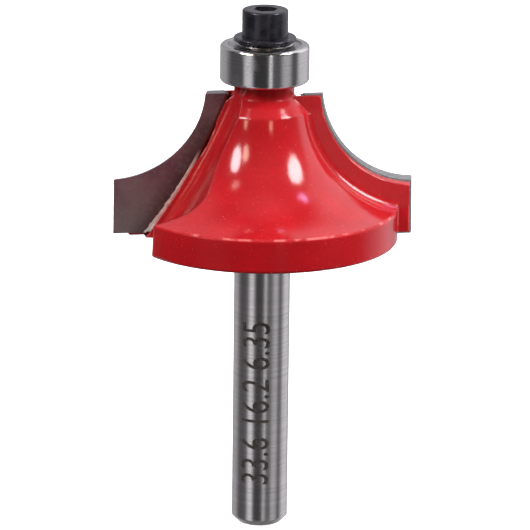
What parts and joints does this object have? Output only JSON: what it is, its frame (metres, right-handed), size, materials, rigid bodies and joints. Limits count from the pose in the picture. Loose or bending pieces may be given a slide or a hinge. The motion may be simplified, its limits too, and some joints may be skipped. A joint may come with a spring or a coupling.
{
  "type": "router bit",
  "caption": "Bearing-guided ovolo router bit with brazed carbide tips on a red enamelled steel body and a plain round shank.",
  "frame": {"origin": "centre of the shank's end face, on the bit's axis", "axes": "+Z along the axis from the shank's end to the guide bearing; +X about along the first wing, whose rake face looks to +Y"},
  "size_m": [0.0336, 0.0304, 0.0598],
  "materials": {
    "body_enamel": "glossy red enamel over steel, bare ground steel on the shank",
    "carbide": "ground tungsten carbide, dull dark grey on the face",
    "braze": "silver solder",
    "bearing_steel": "polished bearing steel",
    "ball_steel": "polished",
    "cage_steel": "pressed steel",
    "shield_steel": "pressed steel",
    "black_oxide": "black oxide with a light film of oil"
  },
  "bodies": {
    "bit": {"bit_body": "body_enamel", "carbide_tip_1": "carbide", "carbide_tip_2": "carbide", "braze_1": "braze", "braze_2": "braze", "bearing_inner_ring": "bearing_steel", "bearing_spacer": "bearing_steel", "washer": "black_oxide", "socket_screw": "black_oxide"},
    "outer_race": {"bearing_outer_ring": "bearing_steel", "bearing_shield_top": "shield_steel", "bearing_shield_bottom": "shield_steel"},
    "cage": {"bearing_cage": "cage_steel"},
    "ball_1": {"bearing_ball_1": "ball_steel"},
    "ball_2": {"bearing_ball_2": "ball_steel"},
    "ball_3": {"bearing_ball_3": "ball_steel"},
    "ball_4": {"bearing_ball_4": "ball_steel"},
    "ball_5": {"bearing_ball_5": "ball_steel"},
    "ball_6": {"bearing_ball_6": "ball_steel"},
    "ball_7": {"bearing_ball_7": "ball_steel"}
  },
  "joints": [
    {"name": "outer_ring_spin", "type": "hinge", "parent": "bit", "child": "outer_race", "pos_m": [0, 0, 0.0538], "axis": [0, 0, 1], "continuous": true},
    {"name": "cage_spin", "type": "hinge", "parent": "bit", "child": "cage", "pos_m": [0, 0, 0.0538], "axis": [0, 0, 1], "continuous": true},
    {"name": "ball_1_spin", "type": "hinge", "parent": "cage", "child": "ball_1", "pos_m": [0.00325, 0, 0.0538], "axis": [0, 0, 1], "continuous": true},
    {"name": "ball_2_spin", "type": "hinge", "parent": "cage", "child": "ball_2", "pos_m": [0.00203, 0.00254, 0.0538], "axis": [0, 0, 1], "continuous": true},
    {"name": "ball_3_spin", "type": "hinge", "parent": "cage", "child": "ball_3", "pos_m": [-0.00072, 0.00317, 0.0538], "axis": [0, 0, 1], "continuous": true},
    {"name": "ball_4_spin", "type": "hinge", "parent": "cage", "child": "ball_4", "pos_m": [-0.00293, 0.00141, 0.0538], "axis": [0, 0, 1], "continuous": true},
    {"name": "ball_5_spin", "type": "hinge", "parent": "cage", "child": "ball_5", "pos_m": [-0.00293, -0.00141, 0.0538], "axis": [0, 0, 1], "continuous": true},
    {"name": "ball_6_spin", "type": "hinge", "parent": "cage", "child": "ball_6", "pos_m": [-0.00072, -0.00317, 0.0538], "axis": [0, 0, 1], "continuous": true},
    {"name": "ball_7_spin", "type": "hinge", "parent": "cage", "child": "ball_7", "pos_m": [0.00203, -0.00254, 0.0538], "axis": [0, 0, 1], "continuous": true}
  ],
  "couplings": [
    {"joint": "cage_spin", "follows": "outer_ring_spin", "ratio": 0.62215},
    {"joint": "ball_1_spin", "follows": "outer_ring_spin", "ratio": 1.9244},
    {"joint": "ball_2_spin", "follows": "outer_ring_spin", "ratio": 1.9244},
    {"joint": "ball_3_spin", "follows": "outer_ring_spin", "ratio": 1.9244},
    {"joint": "ball_4_spin", "follows": "outer_ring_spin", "ratio": 1.9244},
    {"joint": "ball_5_spin", "follows": "outer_ring_spin", "ratio": 1.9244},
    {"joint": "ball_6_spin", "follows": "outer_ring_spin", "ratio": 1.9244},
    {"joint": "ball_7_spin", "follows": "outer_ring_spin", "ratio": 1.9244}
  ]
}
